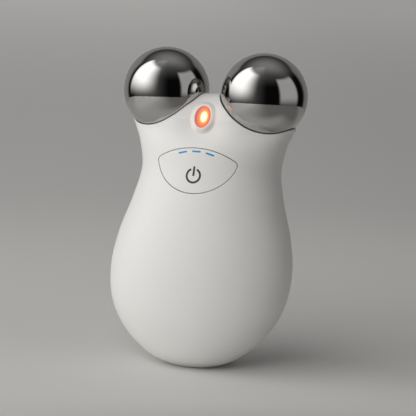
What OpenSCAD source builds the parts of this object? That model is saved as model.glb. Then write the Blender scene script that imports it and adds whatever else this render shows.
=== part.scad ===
// Facial toning device: pear-shaped body, two round electrodes in sockets,
// a light between them and a shield-shaped power button.
// Millimetres, +Z up, the front faces -Y, origin in the middle of the base.

/* [Body sections] */
// Width of the flat base that the device stands on
base_width = 20; // [16:0.5:24]
// Depth of the flat base
base_depth = 19; // [15:0.5:23]
// Width of the body where it is widest
bulb_width = 60.4; // [50:0.2:73]
// Depth of the body at the same height
bulb_depth = 41; // [34:0.5:50]
// Height of the widest place
bulb_height = 30; // [27:0.5:33]
// Distance of the bulb's middle behind the base's middle
bulb_y = 1.5; // [0:0.1:3]
// Width of the waist under the head
neck_width = 46.2; // [42:0.2:56]
// Depth of the waist
neck_depth = 34.8; // [32:0.2:42]
// Height of the waist
neck_height = 62; // [60:0.5:64]
// Distance of the waist's middle behind the base's middle
neck_y = 8.2; // [7:0.1:9.4]
// Width of the head at the sockets' outer lips
brow_width = 54.6; // [50:0.2:60]
// Depth of the head at that height
brow_depth = 24.4; // [22:0.2:28]
// Height of the sockets' outer lips
brow_height = 77.6; // [76:0.1:79]
// Distance of the head's middle behind the base's middle
brow_y = 9.1; // [8:0.1:10]
// Height of the bridge between the electrodes
crown_height = 87.2; // [86.6:0.1:88]
// Distance of the bridge's top behind the base's middle
crown_y = 6.5; // [6:0.1:7.5]
// Exponent of the cross-section: 2 is an ellipse, more is squarer
roundness = 2.1; // [2:0.05:2.4]
// Wall of the shells
wall = 2; // [1.6:0.1:2.4]

/* [Electrodes] */
// Diameter of an electrode ball
ball_d = 28; // [24:0.5:30]
// Gap between the two balls
ball_gap = 5.5; // [4.5:0.1:7]
// Height of the balls' centres above the sockets' outer lips
ball_rise = 9.4; // [8.4:0.1:10.4]
// Distance of the balls' centres behind the base's middle
ball_y = 9; // [8:0.1:10]
// Wall of a hollow ball
ball_wall = 0.8; // [0.5:0.1:1.5]
// Gap between a ball and its socket
socket_gap = 0.35; // [0.25:0.05:0.5]
// Wall of a socket cup
socket_wall = 2.6; // [2.5:0.1:3]
// Lean of the electrode studs away from upright
stud_lean = 22; // [16:1:26]
// Diameter of an electrode stud
stud_d = 4; // [3:0.5:4]
// Width of a stud nut across its flats
nut_width = 7; // [6:0.5:7.5]
// Thickness of a stud nut
nut_t = 2.4; // [2:0.1:3]

/* [Power button] */
// Height of the power symbol's middle
button_height = 62.3; // [61:0.1:64]
// Lean of the button's face back from upright
button_tilt = 17; // [14:1:20]
// Reach of the button above the symbol's middle
button_top = 8.85; // [8.5:0.05:10]
// Reach of the button below the symbol's middle
button_bottom = 5.7; // [5:0.05:6.5]
// Radius of the shallow upper edge
button_top_r = 27; // [22:0.5:34]
// Radius of the deep lower edge
button_low_r = 13.8; // [13:0.1:14.5]
// Radius of the two side corners
button_corner_r = 1.3; // [1:0.1:2]
// Groove round the button
button_gap = 0.25; // [0.2:0.05:0.35]
// Wall of the button cap
button_wall = 1.8; // [1.4:0.1:2]
// Travel of the button
button_travel = 0.3; // [0.2:0.05:0.35]
// Outer diameter of the power symbol's ring
symbol_d = 5.1; // [4:0.1:6]
// Line width of the power symbol
symbol_line = 0.66; // [0.5:0.02:0.8]
// Length of an indicator bar
bar_length = 2.9; // [2.4:0.1:3.4]
// Thickness of an indicator bar
bar_t = 0.55; // [0.4:0.05:0.7]

/* [Light] */
// Height of the light's middle on the front
light_height = 80.1; // [79.5:0.1:81]
// Lean of the light's face back from upright
light_tilt = 26; // [24:1:30]
// Height of the oval lens
lens_height = 7.2; // [6:0.1:7.6]
// Width of the oval lens
lens_width = 5; // [4.4:0.1:5.4]
// Width of the raised lip round the lens
lip_width = 0.8; // [0.6:0.1:1]
// Rise of that lip above the body
lip_rise = 0.9; // [0.6:0.1:1.2]

/* [Boards and battery] */
// Width of the main board
board_width = 26; // [24:0.5:28]
// Length of the main board
board_length = 42; // [40:0.5:42]
// Thickness of the boards
board_t = 1; // [0.8:0.1:1.2]
// Width of the battery cell
cell_width = 24; // [20:0.5:26]
// Length of the battery cell
cell_length = 32; // [28:0.5:32]
// Thickness of the battery cell
cell_t = 8; // [6:0.5:9]
// Thickness of the plastic chassis plate
chassis_t = 1.6; // [1.4:0.1:1.8]

/* [Rear cover] */
// Bottom edge of the rear cover
cover_bottom = 16; // [15:0.5:18]
// Top edge of the rear cover
cover_top = 69; // [67:0.5:69]
// Distance of the cover's edge inside the body's outline, seen from behind
cover_inset = 6; // [5:0.5:7]
// Gap round the cover
cover_gap = 0.15; // [0.1:0.05:0.25]
// Thickness of the cover's seal
seal_t = 0.6; // [0.5:0.1:0.8]

/* [Charging port] */
// Height of the port's middle
port_height = 9.6; // [9:0.1:10]
// Width of the port's metal shell
port_width = 8.9; // [8.6:0.1:9]
// Thickness of the port's metal shell
port_t = 3.2; // [3:0.1:3.3]
// Length of the port
port_length = 7.4; // [6.5:0.1:8]

/* [Hidden] */

around = 40;                 // points round a body section
steps = 3;                   // rings between two control stations
inner_around = 32;           // the same two for the inner surface
inner_steps = 2;
fit = 0.1;                   // clearance of fixed parts in their holes
screw_d = 1.6;
head_d = 3;
head_t = 0.8;
ball_r = ball_d / 2;
ball_pitch = ball_d + ball_gap;
ball_height = brow_height + ball_rise;
socket_r = ball_r + socket_gap;
cup_r = socket_r + socket_wall;

white = [0.90, 0.89, 0.87];
chrome = [0.62, 0.62, 0.63];
board_green = [0.10, 0.35, 0.22];
brass = [0.80, 0.66, 0.32];
steel = [0.55, 0.56, 0.58];
black = [0.08, 0.08, 0.09];

// ---------- body surface ----------

// A section is [height, half width, half depth, middle y].
base_section = [0, base_width / 2, base_depth / 2, 0];
bulb_section = [bulb_height, bulb_width / 2, bulb_depth / 2, bulb_y];
neck_section = [neck_height, neck_width / 2, neck_depth / 2, neck_y];
brow_section = [brow_height, brow_width / 2, brow_depth / 2, brow_y];
crown_section = [crown_height, 0, 0, crown_y];

// A station between two sections, with its share of the way for each value.
function between(a, b, share) = [for (i = [0:3]) a[i] + (b[i] - a[i]) * share[i]];

stations = [
    base_section,
    between(base_section, bulb_section, [0.12, 0.30, 0.36, -1.2]),
    between(base_section, bulb_section, [0.34, 0.66, 0.60, -1.5]),
    between(base_section, bulb_section, [0.64, 0.92, 0.85, -0.6]),
    bulb_section,
    between(bulb_section, neck_section, [0.35, 0.23, 0.04, 0.34]),
    between(bulb_section, neck_section, [0.69, 0.71, 0.46, 0.68]),
    neck_section,
    between(neck_section, brow_section, [0.52, 0.33, 0.34, 0.60]),
    between(neck_section, brow_section, [0.84, 0.835, 0.81, 0.95]),
    brow_section,
    between(brow_section, crown_section, [0.28, 0.14, 0.11, 0.23]),
    between(brow_section, crown_section, [0.70, 0.255, 0.36, 0.40]),
    crown_section
];
last = len(stations) - 1;

// Neighbours past the ends: straight on under the base, mirrored over the crown.
function station(i) =
    i < 0 ? 2 * stations[0] - stations[1] :
    i > last ? [stations[last - 1][0], -stations[last - 1][1],
                -stations[last - 1][2], stations[last - 1][3]] :
    stations[i];

// Catmull-Rom spline through the stations.
function spline(i, t) =
    let (a = station(i - 1), b = station(i), c = station(i + 1), d = station(i + 2))
    (2 * b + (c - a) * t + (2 * a - 5 * b + 4 * c - d) * t * t
        + (3 * b - a - 3 * c + d) * t * t * t) / 2;

// Rings of the outer surface, with some rings to each stretch between stations.
function make_rings(per) = concat(
    [for (i = [0:last - 1], k = [0:per - 1]) spline(i, k / per)],
    [crown_section]);

function neighbour(rings, i) =
    i < 0 ? 2 * rings[0] - rings[1] :
    i >= len(rings) ? let (r = rings[len(rings) - 2]) [r[0], -r[1], -r[2], r[3]] :
    rings[i];

// The same rings moved inwards by a depth, square to the surface.
function inset_rings(rings, depth) =
    [for (i = [0:len(rings) - 1])
        let (r = rings[i], d = neighbour(rings, i + 1) - neighbour(rings, i - 1),
             side = d[0] / norm([d[0], d[1]]), front = d[0] / norm([d[0], d[2]]),
             rise = d[1] / norm([d[0], d[1]]))
        [max(depth, r[0] + depth * rise),
         max(0, r[1] - depth * side), max(0, r[2] - depth * front), r[3]]];

outer_rings = make_rings(steps);

function power(v, e) = sign(v) * pow(abs(v), e);

function ring_point(r, a) =
    [r[1] * power(cos(a), 2 / roundness), r[3] + r[2] * power(sin(a), 2 / roundness), r[0]];

// Closed solid of the body's outer surface, moved inwards by a depth.
module body_solid(depth, sides = around, per = steps) {
    rings = inset_rings(make_rings(per), depth);
    count = len(rings) - 1;
    bottom = count * sides;
    points = concat(
        [for (i = [0:count - 1], k = [0:sides - 1]) ring_point(rings[i], 360 * k / sides)],
        [[0, rings[0][3], rings[0][0]], [0, rings[count][3], rings[count][0]]]);
    faces = concat(
        [for (k = [0:sides - 1]) [bottom, k, (k + 1) % sides]],
        [for (k = [0:sides - 1])
            [bottom + 1, (count - 1) * sides + (k + 1) % sides, (count - 1) * sides + k]],
        [for (i = [0:count - 2], k = [0:sides - 1])
            [i * sides + k, (i + 1) * sides + k, (i + 1) * sides + (k + 1) % sides]],
        [for (i = [0:count - 2], k = [0:sides - 1])
            [i * sides + k, (i + 1) * sides + (k + 1) % sides, i * sides + (k + 1) % sides]]);
    polyhedron(points, faces, convexity = 6);
}

half_widths = [for (r = outer_rings) [r[0], r[1]]];
half_depths = [for (r = outer_rings) [r[0], r[2]]];
middles = [for (r = outer_rings) [r[0], r[3]]];
function half_width(z) = lookup(z, half_widths);

// Distance of the surface from the section's middle, at a place across it.
function bulge(x, z) =
    lookup(z, half_depths)
        * pow(max(0, 1 - pow(abs(x) / half_width(z), roundness)), 1 / roundness);
function front_y(z) = lookup(z, middles) - bulge(0, z);
function back_y(x, z) = lookup(z, middles) + bulge(x, z);

// ---------- places ----------

module at_button() {
    translate([0, front_y(button_height), button_height])
        rotate([90 - button_tilt, 0, 0])
            children();
}

module at_light() {
    translate([0, front_y(light_height), light_height])
        rotate([90 - light_tilt, 0, 0])
            children();
}

module at_ball(side) {
    translate([side * ball_pitch / 2, ball_y, ball_height])
        rotate([0, side * stud_lean, 0])
            children();
}

module at_balls() {
    for (side = [-1, 1])
        at_ball(side)
            children();
}

// ---------- outlines ----------

function arc(centre, r, from, to, count) =
    [for (i = [0:count - 1]) let (a = from + (to - from) * i / count)
        centre + r * [cos(a), sin(a)]];

// The button's outline: two arcs that meet in rounded side corners.
function button_outline(grow) =
    let (corner_r = max(0.3, button_corner_r + grow),
         upper = [0, button_top - button_top_r],
         lower = [0, button_low_r - button_bottom],
         a = button_top_r + grow - corner_r,
         b = button_low_r + grow - corner_r,
         apart = lower[1] - upper[1],
         rise = (apart * apart + a * a - b * b) / (2 * apart),
         corner = [sqrt(a * a - rise * rise), upper[1] + rise],
         upper_a = atan2(rise, corner[0]),
         lower_a = atan2(corner[1] - lower[1], corner[0]))
    concat(
        arc(corner, corner_r, lower_a, upper_a, 5),
        arc(upper, button_top_r + grow, upper_a, 180 - upper_a, 14),
        arc([-corner[0], corner[1]], corner_r, 180 - upper_a, 180 - lower_a, 5),
        arc(lower, button_low_r + grow, 180 - lower_a, 360 + lower_a, 20));

module button_prism(grow, low, high) {
    at_button()
        translate([0, 0, low])
            linear_extrude(high - low)
                polygon(button_outline(grow));
}

module oval(width, height) {
    polygon([for (a = [0:10:350]) [width / 2 * cos(a), height / 2 * sin(a)]]);
}

module oval_prism(grow, low, high) {
    at_light()
        translate([0, 0, low])
            linear_extrude(high - low)
                oval(lens_width + 2 * grow, lens_height + 2 * grow);
}

// Slot shape with round ends, as the port has.
module slot(width, height) {
    square([width - height, height], center = true);
    for (side = [-1, 1])
        translate([side * (width - height) / 2, 0])
            circle(d = height, $fn = 24);
}

module port_prism(grow, from_y, to_y) {
    translate([0, to_y, port_height])
        rotate([90, 0, 0])
            linear_extrude(to_y - from_y)
                slot(port_width + 2 * grow, port_t + 2 * grow);
}

// The rear cover's outline keeps its distance from the body's sides.
cover_middle = (cover_bottom + cover_top) / 2;
cover_half = (cover_top - cover_bottom) / 2;
cover_steps = 24;
function cover_side(grow) =
    [for (i = [0:cover_steps])
        let (q = -cos(180 * i / cover_steps), z = cover_middle + q * (cover_half + grow))
        [(half_width(z) - cover_inset + grow) * pow(max(0, 1 - pow(abs(q), 4)), 0.25), z]];
function cover_outline(grow) =
    let (side = cover_side(grow))
    concat(side, [for (i = [cover_steps - 1:-1:1]) [-side[i][0], side[i][1]]]);

cover_front = 5;             // the cover's prism starts this far behind the base's middle
frame_ring_t = 1.2;          // thickness of the ring behind the cover's seam
frame_reach = 1.6;           // how far that ring reaches past the seam
seal_reach = 1.3;            // how far the seal reaches to each side of the seam
facet_room = 0.3;            // the inner surface's flats lie this much deeper than its curve

module cover_prism(grow) {
    translate([0, 60, 0])
        rotate([90, 0, 0])
            linear_extrude(60 - cover_front)
                polygon(cover_outline(grow));
}

// Back surface at a place, moved inwards by a depth.
function inset_table(depth, column) =
    [for (r = inset_rings(outer_rings, depth)) [r[0], r[column]]];
function back_at(x, z, widths, depths) =
    lookup(z, middles) + lookup(z, depths)
        * pow(max(0, 1 - pow(abs(x) / lookup(z, widths), roundness)), 1 / roundness);

// A ring along the cover's outline that follows the wall between two depths.
module cover_ring(inside, outside, shallow, deep) {
    paths = [cover_outline(inside), cover_outline(outside),
             cover_outline(outside), cover_outline(inside)];
    levels = [deep, deep, shallow, shallow];
    widths = [for (d = levels) inset_table(d, 1)];
    depths = [for (d = levels) inset_table(d, 2)];
    count = len(paths[0]);
    points = [for (i = [0:count - 1], j = [0:3])
        let (p = paths[j][i]) [p[0], back_at(p[0], p[1], widths[j], depths[j]), p[1]]];
    faces = [for (i = [0:count - 1], j = [0:3], half = [0:1])
        let (n = 4 * ((i + 1) % count), m = (j + 1) % 4)
        half == 0 ? [4 * i + j, 4 * i + m, n + m] : [4 * i + j, n + m, n + j]];
    polyhedron(points, faces, convexity = 4);
}

// ---------- depths behind the button's face ----------

flange_depth = 5.9;          // front of the button's flange, clear of the shell
flange_t = 0.9;
flange_reach = 1.2;          // how far the flange reaches past the cap
cap_side = 1.2;              // wall of the cap at its sides
stem_d = 3.2;
seal_pad_t = 0.25;
frame_depth = flange_depth + flange_t + button_travel + 0.05 + seal_pad_t;
frame_t = 1.2;
board_depth = frame_depth + frame_t + 1.35;
plunger_depth = board_depth - 2.4;
switch_t = 1.7;
chassis_depth = board_depth + board_t + 2.4;
pad_t = 0.4;
cell_depth = chassis_depth + chassis_t + pad_t;

board_top = 9;               // above the symbol's middle
board_bottom = board_top - board_length;
cell_top = -1;
chassis_post_d = 4.6;
frame_post_d = 4;

board_screw_spots = [for (x = [-1, 1], y = [board_top - 5, board_bottom + 3])
    [x * (board_width / 2 - 2), y]];
frame_screw_x = 6;
frame_screw_away = flange_reach + frame_post_d / 2 + 0.3;
frame_screw_spots = [for (x = [-1, 1], y = [-button_bottom - frame_screw_away,
                                            button_top + frame_screw_away])
    [x * frame_screw_x, y]];
chassis_post_x = board_width / 2 + chassis_post_d / 2 + 0.7;
chassis_half = chassis_post_x + chassis_post_d / 2;
chassis_spots = [for (x = [-1, 1], y = [-4, board_bottom + 3]) [x * chassis_post_x, y]];

bar_row_r = 19;              // the three bars lie on an arc of this radius
bar_rise = 7.5;              // middle bar above the symbol's middle
bar_angle = 14;              // angle between neighbouring bars on that arc

module at_bars() {
    for (i = [-1:1])
        translate([0, bar_rise - bar_row_r, 0])
            rotate(-i * bar_angle)
                translate([0, bar_row_r, 0])
                    children();
}

module at_spots(spots, depth) {
    at_button()
        for (p = spots)
            translate([p[0], p[1], -depth])
                children();
}

// ---------- depths along an electrode's stud ----------

seat_z = -(cup_r + 0.8);     // flat seat under a socket cup
ring_t = 0.5;
cup_boss_d = 9;
stud_in_ball = 5.5;
stud_end = seat_z - ring_t - nut_t - 1;
tab_reach = 6;               // how far a contact ring's tab reaches forward

// ---------- depths behind the light's face ----------

lens_seat = 3.2;             // flat seat behind the lens
lens_tail = 1.2;             // how far the lens reaches into its holder
lens_crown = 0.5;            // how far it stands out of the body
holder_reach = 1.5;          // how far the holder reaches past the lens
light_board_depth = lens_seat + 3.4;
light_board_t = 0.8;

// ---------- charging port ----------

charge_board_z = port_height - port_t / 2 - board_t;
charge_screw_x = [-5.5, 5.5];
charge_screw_y = -2;
port_mouth = back_y(port_width / 2, port_height) - 0.3;

// ---------- shells ----------

module socket_cups() {
    at_balls() {
        sphere(cup_r, $fn = 48);
        translate([0, 0, seat_z])
            cylinder(h = 4, d = cup_boss_d, $fn = 32);
    }
}

module cavity() {
    difference() {
        union() {
            body_solid(wall, inner_around, inner_steps);
            oval_prism(holder_reach + 2 * fit, -light_board_depth, -lens_seat + 0.3);
        }
        socket_cups();
        oval_prism(holder_reach + 0.5, -lens_seat, 4);
    }
}
module inner_posts() {
    intersection() {
        body_solid(wall / 2, 24, 1);
        union() {
            at_spots(chassis_spots, chassis_depth)
                cylinder(h = 20, d = chassis_post_d, $fn = 24);
            at_spots(frame_screw_spots, frame_depth)
                cylinder(h = 12, d = frame_post_d, $fn = 24);
            for (x = charge_screw_x)
                translate([x, charge_screw_y, 0])
                    cylinder(h = charge_board_z, d = frame_post_d, $fn = 24);
        }
    }
}

module screw_holes(spots, depth, length) {
    at_spots(spots, depth)
        cylinder(h = length, d = screw_d - fit, $fn = 16);
}

module front_shell() {
    color(white)
    difference() {
        union() {
            difference() {
                body_solid(0);
                cavity();
                cover_prism(cover_gap);
                button_prism(button_gap, -12, 6);
            }
            oval_prism(lip_width, -1, lip_rise);
            inner_posts();
        }
        at_balls() {
            sphere(socket_r, $fn = 64);
            translate([0, 0, seat_z - 1])
                cylinder(h = 6, d = stud_d + 2 * fit, $fn = 24);
        }
        oval_prism(fit, -5, 3);
        port_prism(0.3, back_y(0, port_height) - 6, back_y(0, port_height) + 3);
        screw_holes(chassis_spots, chassis_depth + 1, 5);
        screw_holes(frame_screw_spots, frame_depth + 1, 4);
        for (x = charge_screw_x)
            translate([x, charge_screw_y, charge_board_z - 3])
                cylinder(h = 4, d = screw_d - fit, $fn = 16);
    }
}

module rear_cover() {
    color(white)
    intersection() {
        difference() {
            body_solid(0);
            body_solid(wall, inner_around, inner_steps);
        }
        cover_prism(0);
    }
}

// Ring bonded behind the seam, which carries the cover's edge.
module cover_frame() {
    seat = wall + facet_room + seal_t;
    color([0.80, 0.80, 0.79])
    cover_ring(-frame_reach, frame_reach, seat, seat + frame_ring_t);
}

// Adhesive seal between that ring and the edges of the shell and the cover.
module cover_seal() {
    color([0.35, 0.36, 0.38])
    cover_ring(-seal_reach, seal_reach, wall + facet_room, wall + facet_room + seal_t - 0.1);
}

module screw(length) {
    translate([0, 0, -head_t])
        cylinder(h = head_t, d = head_d, $fn = 24);
    cylinder(h = length, d = screw_d - fit, $fn = 16);
}

// ---------- power button ----------

module symbol_shape() {
    line = symbol_line;
    middle_r = (symbol_d - symbol_line) / 2;
    open_a = 32;
    difference() {
        circle(r = middle_r + line / 2, $fn = 48);
        circle(r = middle_r - line / 2, $fn = 48);
        polygon([[0, 0], 2 * symbol_d * [sin(open_a), cos(open_a)],
                 2 * symbol_d * [-sin(open_a), cos(open_a)]]);
    }
    for (side = [-1, 1])
        translate(middle_r * [side * sin(open_a), cos(open_a)])
            circle(d = line, $fn = 16);
    translate([0, symbol_d * 0.28])
        square([line, symbol_d * 0.5], center = true);
    for (y = [symbol_d * 0.03, symbol_d * 0.53])
        translate([0, y])
            circle(d = line, $fn = 16);
}

symbol_depth = 0.6;
symbol_top = 0.2;            // the inlay lies just under the curved face
module symbol_prism(high) {
    at_button()
        translate([0, 0, -symbol_depth])
            linear_extrude(symbol_depth + high)
                symbol_shape();
}

module bar_prisms(low, high) {
    at_button()
        at_bars()
            translate([0, 0, low])
                linear_extrude(high - low)
                    square([bar_length, bar_t], center = true);
}

module power_button() {
    color(white)
    difference() {
        union() {
            difference() {
                intersection() {
                    body_solid(0);
                    button_prism(0, -flange_depth - flange_t, 4);
                }
                intersection() {
                    body_solid(button_wall, inner_around, inner_steps);
                    button_prism(-cap_side, -12, 4);
                }
            }
            difference() {
                button_prism(flange_reach, -flange_depth - flange_t, -flange_depth);
                button_prism(-cap_side, -12, 4);
            }
            at_button()
                translate([0, 0, -plunger_depth])
                    cylinder(h = plunger_depth - 1, d = stem_d, $fn = 24);
        }
        symbol_prism(3);
        bar_prisms(-12, 4);
    }
}

module power_symbol() {
    color(black)
    symbol_prism(-symbol_top);
}

guide_depth = frame_depth + frame_t - 0.2;
module indicator_bars() {
    color([0.15, 0.55, 0.85])
    intersection() {
        body_solid(0);
        bar_prisms(-guide_depth, 4);
    }
}

module button_seal() {
    color([0.45, 0.46, 0.48])
    difference() {
        button_prism(1.1, -frame_depth, -frame_depth + seal_pad_t);
        button_prism(-0.4, -frame_depth - 1, -frame_depth + 1);
    }
}

module button_frame() {
    color([0.75, 0.75, 0.74])
    difference() {
        union() {
            button_prism(1.8, -frame_depth - frame_t, -frame_depth);
            at_spots(frame_screw_spots, frame_depth + frame_t)
                cylinder(h = frame_t, d = 5, $fn = 24);
            at_spots([for (p = frame_screw_spots) [p[0], p[1] - sign(p[1]) * 1.5]],
                     frame_depth + frame_t)
                translate([-2.5, -1.5, 0])
                    cube([5, 3, frame_t]);
        }
        button_prism(-0.5, -frame_depth - 4, 0);
        screw_holes(frame_screw_spots, frame_depth + frame_t + 1, 4);
    }
}

module frame_screws() {
    color(steel)
    at_spots(frame_screw_spots, frame_depth + frame_t)
        screw(frame_t + 0.8);
}

module switch_body() {
    color(black)
    at_button()
        difference() {
            translate([-3, -3, -board_depth])
                cube([6, 6, switch_t]);
            translate([0, 0, -board_depth + 0.1])
                cylinder(h = switch_t, d = 3 + 2 * fit, $fn = 24);
        }
}

module switch_plunger() {
    color([0.8, 0.8, 0.78])
    at_button()
        translate([0, 0, -board_depth + 0.1 + button_travel + 0.1])
            cylinder(h = board_depth - plunger_depth - 0.2 - button_travel, d = 3, $fn = 24);
}

// ---------- boards ----------

module at_board_front() {
    at_button()
        translate([0, 0, -board_depth])
            children();
}

module main_board() {
    color(board_green)
    difference() {
        at_board_front()
            translate([-board_width / 2, board_bottom, -board_t])
                cube([board_width, board_length, board_t]);
        at_spots(board_screw_spots, board_depth + board_t + 1)
            cylinder(h = board_t + 2, d = screw_d + 2 * fit, $fn = 16);
    }
}

module board_screws() {
    color(steel)
    at_spots(board_screw_spots, board_depth)
        mirror([0, 0, 1])
            screw(board_t + 1.8);
}

module controller_chip() {
    color(black)
    at_board_front()
        translate([-3.5, -18, 0])
            cube([7, 7, 0.9]);
}

module boost_coil() {
    color([0.25, 0.25, 0.27])
    at_board_front()
        translate([-10, -29, 0]) {
            cube([7, 7, 2.2]);
            translate([3.5, 3.5, 2.2])
                cylinder(h = 0.8, d = 5.4, $fn = 32);
        }
}

module beeper() {
    color([0.16, 0.16, 0.17])
    at_board_front()
        translate([5.5, -25, 0])
            difference() {
                cylinder(h = 2.5, d = 9, $fn = 32);
                translate([0, 0, 1.8])
                    cylinder(h = 2, d = 1.6, $fn = 16);
            }
}

module status_leds() {
    color([0.85, 0.90, 0.95])
    at_board_front()
        at_bars()
            translate([-0.8, -0.4, 0])
                cube([1.6, 0.8, 0.6]);
}

module chassis() {
    color([0.30, 0.31, 0.33])
    difference() {
        at_button()
            translate([0, 0, -chassis_depth]) {
                translate([-chassis_half, board_bottom, -chassis_t])
                    cube([2 * chassis_half, 5 - board_bottom, chassis_t]);
                for (p = board_screw_spots)
                    translate([p[0], p[1], 0])
                        cylinder(h = chassis_depth - board_depth - board_t, d = 3.6, $fn = 24);
                cell_tray();
            }
        at_spots(chassis_spots, chassis_depth + chassis_t + 1)
            cylinder(h = chassis_t + 2, d = screw_d + 2 * fit, $fn = 16);
        screw_holes(board_screw_spots, chassis_depth + chassis_t + 1, 6);
    }
}

// Low wall on the back of the chassis round the battery cell.
module cell_tray() {
    tray_wall = 1.2;
    tray_height = 5;
    gap = 0.3;
    translate([0, cell_top - cell_length / 2, -chassis_t - tray_height])
        difference() {
            translate([-cell_width / 2 - gap - tray_wall, -cell_length / 2 - gap - tray_wall, 0])
                cube([cell_width + 2 * (gap + tray_wall),
                      cell_length + 2 * (gap + tray_wall), tray_height]);
            translate([-cell_width / 2 - gap, -cell_length / 2 - gap, -1])
                cube([cell_width + 2 * gap, cell_length + 2 * gap, tray_height + 1]);
            translate([2, cell_length / 2 - 1, -1])
                cube([7, 4, tray_height + 1]);
        }
}

module chassis_screws() {
    color(steel)
    at_spots(chassis_spots, chassis_depth + chassis_t)
        screw(chassis_t + 3);
}

module battery_pad() {
    color([0.2, 0.2, 0.2])
    at_button()
        translate([-cell_width / 2 + 1, cell_top - cell_length + 1, -cell_depth])
            cube([cell_width - 2, cell_length - 2, pad_t]);
}

module battery_cell() {
    color([0.70, 0.72, 0.75])
    at_button()
        translate([-cell_width / 2, cell_top - cell_length, -cell_depth - cell_t])
            cube([cell_width, cell_length, cell_t]);
}

// ---------- wires ----------

wire_sides = 8;
function unit(v) = v / norm(v);

// A bent tube through the points, mitred at each of them.
module wire(points, d) {
    last_point = len(points) - 1;
    rings = [for (i = [0:last_point])
        let (ahead = unit(points[min(i + 1, last_point)] - points[min(i, last_point - 1)]),
             behind = unit(points[max(i, 1)] - points[max(i - 1, 0)]),
             along = unit(ahead + behind),
             across = unit(cross(along, [1, 0, 0])),
             other = cross(along, across))
        [for (k = [0:wire_sides - 1])
            points[i] + d / 2 * (across * cos(360 * k / wire_sides)
                                 + other * sin(360 * k / wire_sides))]];
    corners = [for (ring = rings, p = ring) p];
    polyhedron(corners, concat(
        [[for (k = [wire_sides - 1:-1:0]) k]],
        [[for (k = [0:wire_sides - 1]) last_point * wire_sides + k]],
        [for (i = [0:last_point - 1], k = [0:wire_sides - 1])
            let (a = i * wire_sides + k, b = i * wire_sides + (k + 1) % wire_sides)
            [a, b, b + wire_sides]],
        [for (i = [0:last_point - 1], k = [0:wire_sides - 1])
            let (a = i * wire_sides + k, b = i * wire_sides + (k + 1) % wire_sides)
            [a, b + wire_sides, a + wire_sides]]), convexity = 4);
}

// Global place of a point given in the button's frame.
function button_point(p) =
    [p[0],
     front_y(button_height) + p[1] * sin(button_tilt) - p[2] * cos(button_tilt),
     button_height + p[1] * cos(button_tilt) + p[2] * sin(button_tilt)];

function light_point(p) =
    [p[0],
     front_y(light_height) + p[1] * sin(light_tilt) - p[2] * cos(light_tilt),
     light_height + p[1] * cos(light_tilt) + p[2] * sin(light_tilt)];

function ball_point(side, p) =
    [side * (ball_pitch / 2 + p[2] * sin(stud_lean) + p[0] * cos(stud_lean)),
     ball_y + p[1],
     ball_height + p[2] * cos(stud_lean) - p[0] * sin(stud_lean)];

wire_d = 1;
back_of_board = -board_depth - board_t - wire_d / 2 - 0.05;
front_of_board = -board_depth + wire_d / 2 + 0.05;

module battery_leads() {
    color([0.75, 0.12, 0.10])
    for (x = [4, 6.5])
        wire([
            button_point([x, cell_top, -cell_depth - 4]),
            button_point([x, cell_top + 3, -cell_depth - 4]),
            button_point([x, 6.8, -chassis_depth - 3]),
            button_point([x, 6.8, -board_depth - board_t - 0.05])
        ], wire_d);
}

module electrode_leads() {
    color([0.12, 0.12, 0.13])
    for (side = [-1, 1])
        wire([
            ball_point(side, [0, -tab_reach + 0.5, seat_z - ring_t - 0.05]),
            ball_point(side, [0, -tab_reach + 0.5, seat_z - ring_t - 0.7]),
            button_point([side * 9.5, board_top - 0.5, front_of_board]),
            button_point([side * 9.5, board_top - 2.5, front_of_board])
        ], wire_d);
}

module light_leads() {
    color([0.85, 0.55, 0.12])
    for (x = [-1.3, 1.3])
        wire([
            light_point([x, 0, -light_board_depth - light_board_t - 0.05]),
            light_point([x, 0, -light_board_depth - light_board_t - 1.2]),
            button_point([x, 11, back_of_board - 0.6]),
            button_point([x, 7, back_of_board])
        ], wire_d);
}

module charge_leads() {
    color([0.70, 0.12, 0.10])
    for (x = [-1.3, 1.3])
        wire([
            [x, -2.5, charge_board_z + board_t],
            [x, -2.5, charge_board_z + board_t + 4],
            button_point([x, board_bottom - 2, back_of_board]),
            button_point([x, board_bottom + 2, back_of_board])
        ], wire_d);
}

// ---------- light ----------

module light_lens() {
    color([1.0, 0.42, 0.20])
    oval_prism(0, -lens_seat - lens_tail, lens_crown);
}

// The sockets with a little room, for the pieces between them.
module cup_room() {
    at_balls()
        sphere(cup_r + 2 * fit, $fn = 48);
}

module light_holder() {
    color([0.85, 0.85, 0.83])
    difference() {
        oval_prism(holder_reach, -light_board_depth, -lens_seat);
        oval_prism(fit, -light_board_depth - 1, 1);
        cup_room();
    }
}

module light_board() {
    color(board_green)
    difference() {
        oval_prism(holder_reach - 0.2, -light_board_depth - light_board_t, -light_board_depth);
        cup_room();
    }
}

module light_led() {
    color([1.0, 0.85, 0.45])
    at_light()
        translate([-1.4, -1.4, -light_board_depth])
            cube([2.8, 2.8, 1.4]);
}

// ---------- electrodes ----------

module ball(side) {
    color(chrome)
    at_ball(side)
        difference() {
            union() {
                difference() {
                    sphere(ball_r, $fn = 64);
                    sphere(ball_r - ball_wall, $fn = 64);
                }
                translate([0, 0, -ball_r + 0.6])
                    cylinder(h = stud_in_ball, d = stud_d + 3, $fn = 32);
            }
            translate([0, 0, -ball_r - 1])
                cylinder(h = stud_in_ball + 0.8, d = stud_d, $fn = 32);
        }
}

module ball_left() { ball(-1); }
module ball_right() { ball(1); }

module ball_studs() {
    color(steel)
    at_balls()
        translate([0, 0, stud_end])
            cylinder(h = -stud_end - ball_r - 0.2 + stud_in_ball, d = stud_d, $fn = 32);
}

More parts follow.
